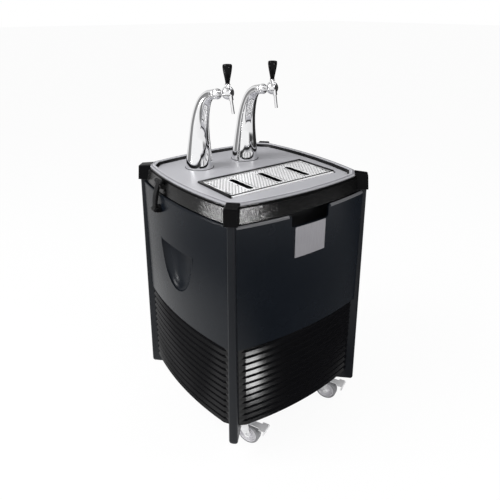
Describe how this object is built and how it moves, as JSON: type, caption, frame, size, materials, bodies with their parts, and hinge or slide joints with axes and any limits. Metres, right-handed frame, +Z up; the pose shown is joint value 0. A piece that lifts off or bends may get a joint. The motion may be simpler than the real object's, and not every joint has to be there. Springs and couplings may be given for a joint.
{
  "type": "mobile beer cooler",
  "caption": "Waist-high refrigerated beer cooler on braked castors, with swan-neck tap columns, lever taps and a drip tray in a lift-off lid.",
  "frame": {"origin": "on the floor, under the middle of the cabinet", "axes": "+Z up; taps pour and the drip tray lies towards -Y, the front; -X is the left side seen from the front"},
  "size_m": [0.5916, 0.574, 1.1577],
  "materials": {
    "cabinet_plastic": "satin, fine grain",
    "post_plastic": "satin, fine grain",
    "grille_plastic": "gloss",
    "rim_plastic": "gloss, orange peel grain",
    "cap_plastic": "gloss",
    "deck_plastic": "satin grey",
    "tray_plastic": "satin",
    "grid_steel": "bright, perforated",
    "plate_steel": "brushed",
    "chrome": "polished",
    "knob_plastic": "gloss",
    "strap_rubber": "matte",
    "galvanised_steel": "zinc plated",
    "castor_zinc": "bright zinc",
    "wheel_rubber": "grey tread, moulded hub",
    "foam": "rigid foam, black skin",
    "stainless": "dull",
    "copper": "copper tube",
    "line_plastic": "translucent tube",
    "compressor_paint": "semi gloss",
    "fin_aluminium": "plain",
    "motor_paint": "semi gloss",
    "fan_plastic": "satin",
    "fitting_brass": "plain",
    "fitting_plastic": "satin"
  },
  "bodies": {
    "cabinet": {"base_pan": "galvanised_steel", "mid_shelf": "galvanised_steel", "castor_plates": "galvanised_steel", "castor_bolts": "galvanised_steel", "front_panel": "cabinet_plastic", "left_panel": "cabinet_plastic", "right_panel": "cabinet_plastic", "rear_panel": "cabinet_plastic", "corner_posts": "post_plastic", "front_grille": "grille_plastic", "right_grille": "grille_plastic", "rear_grille": "grille_plastic", "left_grille": "grille_plastic", "name_plate": "plate_steel", "latch_anchors": "fitting_plastic", "bath_insulation": "foam", "bath_tank": "stainless", "bath_cover": "foam", "evaporator_coil": "copper", "beer_coils": "stainless", "line_couplings": "fitting_plastic", "agitator_motor": "motor_paint", "beer_inlets": "fitting_brass", "drain_spigot": "fitting_plastic", "power_inlet": "fitting_plastic", "compressor": "compressor_paint", "condenser": "fin_aluminium", "fan_motor": "motor_paint", "control_box": "fitting_plastic"},
    "lid": {"lid_rim": "rim_plastic", "corner_caps": "cap_plastic", "deck": "deck_plastic", "left_column": "chrome", "right_column": "chrome", "column_nuts": "stainless", "left_tap_body": "chrome", "right_tap_body": "chrome", "collar_nuts": "chrome", "nozzles": "chrome", "beer_tails": "line_plastic"},
    "tray": {"drip_tray": "tray_plastic"},
    "grid": {"drip_grid": "grid_steel"},
    "left_lever": {"left_tap_lever": "chrome", "left_tap_knob": "knob_plastic"},
    "right_lever": {"right_tap_lever": "chrome", "right_tap_knob": "knob_plastic"},
    "left_strap": {"left_latch_strap": "strap_rubber"},
    "right_strap": {"right_latch_strap": "strap_rubber"},
    "fan": {"fan_blade": "fan_plastic"},
    "agitator": {"agitator_shaft": "stainless"},
    "front_left_castor": {"front_left_fork": "castor_zinc"},
    "front_left_wheel": {"front_left_wheel": "wheel_rubber"},
    "front_left_brake": {"front_left_brake_pedal": "castor_zinc"},
    "front_right_castor": {"front_right_fork": "castor_zinc"},
    "front_right_wheel": {"front_right_wheel": "wheel_rubber"},
    "front_right_brake": {"front_right_brake_pedal": "castor_zinc"},
    "rear_left_castor": {"rear_left_fork": "castor_zinc"},
    "rear_left_wheel": {"rear_left_wheel": "wheel_rubber"},
    "rear_right_castor": {"rear_right_fork": "castor_zinc"},
    "rear_right_wheel": {"rear_right_wheel": "wheel_rubber"}
  },
  "joints": [
    {"name": "lid_lift", "type": "slide", "parent": "cabinet", "child": "lid", "axis": [0, 0, 1], "range_m": [0, 0.1], "deforming": ["left_latch_strap", "right_latch_strap"]},
    {"name": "tray_lift", "type": "slide", "parent": "lid", "child": "tray", "axis": [0, 0, 1], "range_m": [0, 0.1]},
    {"name": "grid_lift", "type": "slide", "parent": "tray", "child": "grid", "axis": [0, 0, 1], "range_m": [0, 0.05]},
    {"name": "left_strap_swing", "type": "hinge", "parent": "cabinet", "child": "left_strap", "pos_m": [-0.28782, 0.092, 0.753], "axis": [0, -1, 0], "range_deg": [0, 100]},
    {"name": "right_strap_swing", "type": "hinge", "parent": "cabinet", "child": "right_strap", "pos_m": [0.28782, 0.092, 0.753], "axis": [0, 1, 0], "range_deg": [0, 100]},
    {"name": "left_tap_lever_pull", "type": "hinge", "parent": "lid", "child": "left_lever", "pos_m": [-0.09507, -0.02156, 1.08368], "axis": [0.9978, 0.0663, 0], "range_deg": [0, 40]},
    {"name": "right_tap_lever_pull", "type": "hinge", "parent": "lid", "child": "right_lever", "pos_m": [0.06107, -0.02156, 1.08368], "axis": [0.9978, -0.0663, 0], "range_deg": [0, 40]},
    {"name": "front_left_swivel", "type": "hinge", "parent": "cabinet", "child": "front_left_castor", "pos_m": [-0.176, -0.19, 0.099], "axis": [0, 0, 1], "continuous": true},
    {"name": "front_left_wheel_roll", "type": "hinge", "parent": "front_left_castor", "child": "front_left_wheel", "pos_m": [-0.16459, -0.21447, 0.0375], "axis": [0.9063, 0.4226, 0], "continuous": true},
    {"name": "front_left_brake_press", "type": "hinge", "parent": "front_left_castor", "child": "front_left_brake", "pos_m": [-0.16586, -0.21175, 0.079], "axis": [0.9063, 0.4226, 0], "range_deg": [0, 6]},
    {"name": "front_right_swivel", "type": "hinge", "parent": "cabinet", "child": "front_right_castor", "pos_m": [0.176, -0.19, 0.099], "axis": [0, 0, 1], "continuous": true},
    {"name": "front_right_wheel_roll", "type": "hinge", "parent": "front_right_castor", "child": "front_right_wheel", "pos_m": [0.18741, -0.21447, 0.0375], "axis": [0.9063, 0.4226, 0], "continuous": true},
    {"name": "front_right_brake_press", "type": "hinge", "parent": "front_right_castor", "child": "front_right_brake", "pos_m": [0.18614, -0.21175, 0.079], "axis": [0.9063, 0.4226, 0], "range_deg": [0, 6]},
    {"name": "rear_left_swivel", "type": "hinge", "parent": "cabinet", "child": "rear_left_castor", "pos_m": [-0.176, 0.19, 0.099], "axis": [0, 0, 1], "continuous": true},
    {"name": "rear_left_wheel_roll", "type": "hinge", "parent": "rear_left_castor", "child": "rear_left_wheel", "pos_m": [-0.16459, 0.16553, 0.0375], "axis": [0.9063, 0.4226, 0], "continuous": true},
    {"name": "rear_right_swivel", "type": "hinge", "parent": "cabinet", "child": "rear_right_castor", "pos_m": [0.176, 0.19, 0.099], "axis": [0, 0, 1], "continuous": true},
    {"name": "rear_right_wheel_roll", "type": "hinge", "parent": "rear_right_castor", "child": "rear_right_wheel", "pos_m": [0.18741, 0.16553, 0.0375], "axis": [0.9063, 0.4226, 0], "continuous": true},
    {"name": "fan_spin", "type": "hinge", "parent": "cabinet", "child": "fan", "pos_m": [0, -0.142, 0.21], "axis": [0, 1, 0], "continuous": true},
    {"name": "agitator_spin", "type": "hinge", "parent": "cabinet", "child": "agitator", "pos_m": [0.023, 0.044, 0.7863], "axis": [0, 0, 1], "continuous": true}
  ]
}
